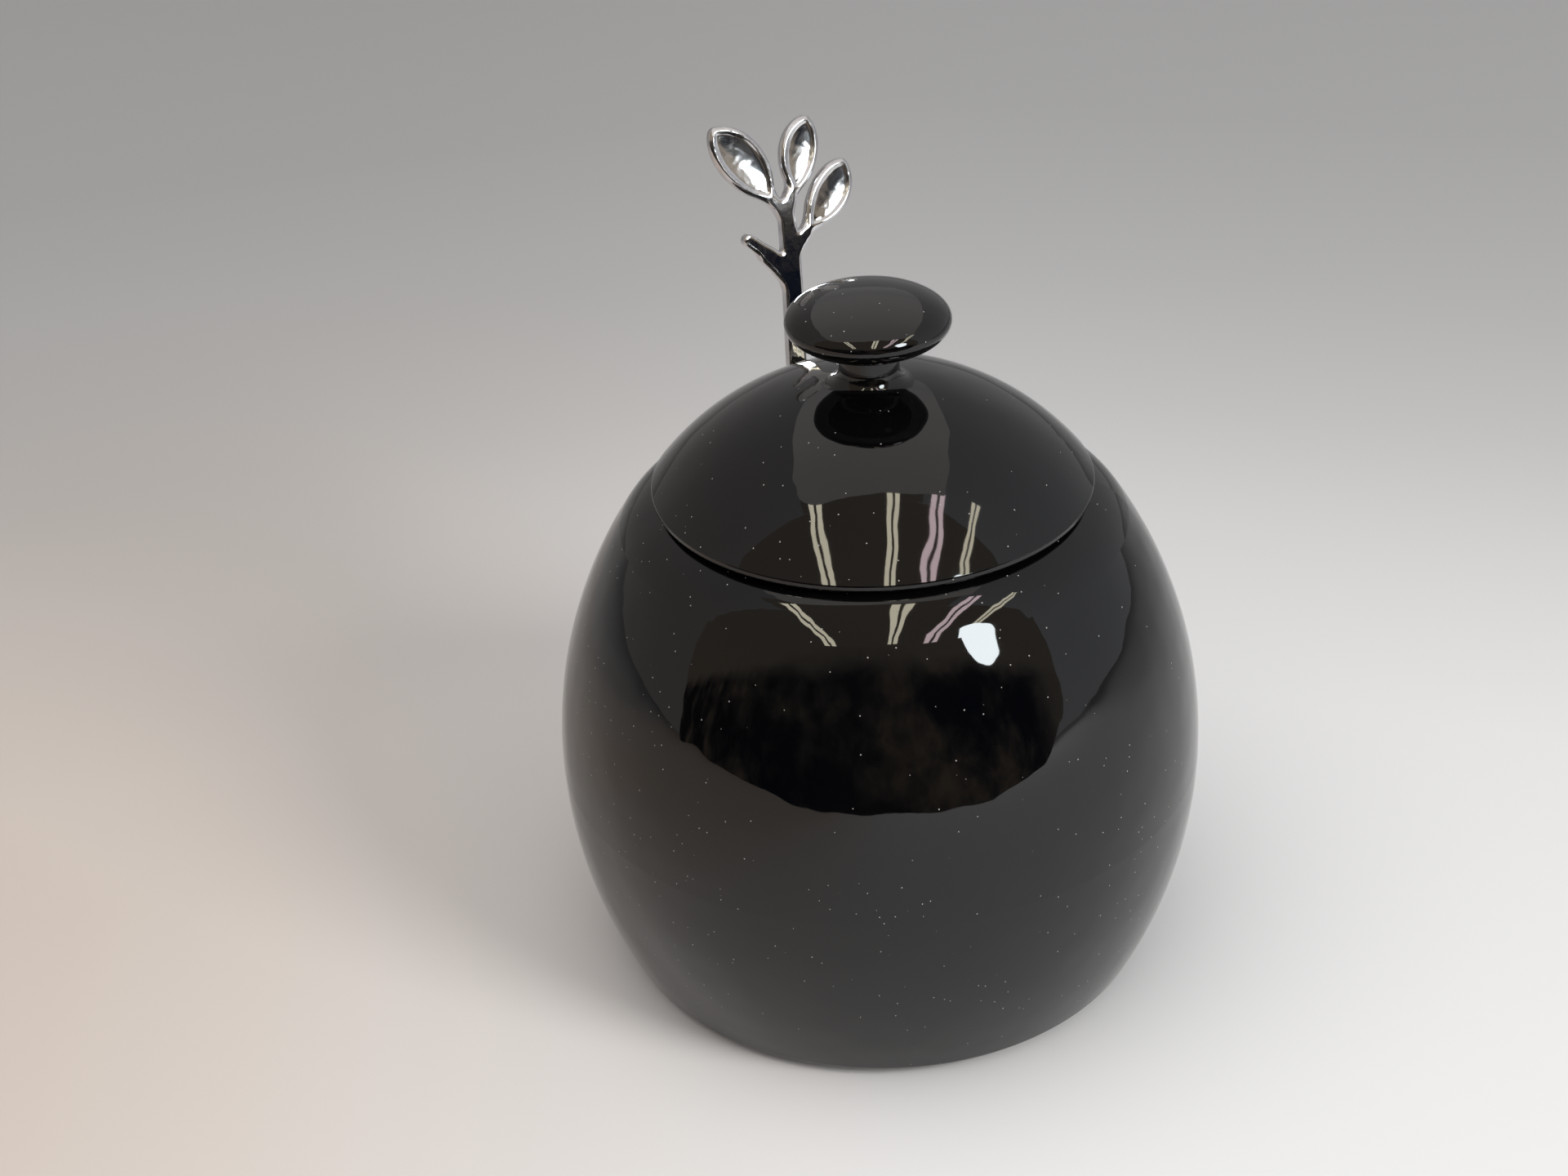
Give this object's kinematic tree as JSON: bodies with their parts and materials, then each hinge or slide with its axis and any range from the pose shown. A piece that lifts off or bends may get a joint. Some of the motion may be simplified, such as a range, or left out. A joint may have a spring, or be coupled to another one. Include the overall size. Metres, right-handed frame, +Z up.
{
  "type": "sugar bowl",
  "caption": "Egg-shaped glazed sugar bowl with a domed lid, a pebble knob and a metal leaf-sprig spoon standing in a notch at the back of the lid.",
  "frame": {"origin": "centre of the foot on the table, on the axis of the bowl", "axes": "+Z up along the axis of the bowl, -Y the front, +X to the right; the spoon stands at the back, left of centre"},
  "size_m": [0.098, 0.098, 0.1204],
  "materials": {
    "bowl_glaze": "deep gloss black glaze, bare foot ring",
    "lid_glaze": "deep gloss black glaze",
    "spoon_chrome": "bright, with dished leaves"
  },
  "bodies": {
    "bowl": {"bowl": "bowl_glaze"},
    "spoon": {"spoon": "spoon_chrome"},
    "lid": {"lid": "lid_glaze"}
  },
  "joints": [
    {"name": "spoon_lift", "type": "slide", "parent": "bowl", "child": "spoon", "axis": [0, 0, 1], "range_m": [0, 0.08]},
    {"name": "lid_lift", "type": "slide", "parent": "spoon", "child": "lid", "axis": [0, 0, 1], "range_m": [0, 0.055]}
  ]
}
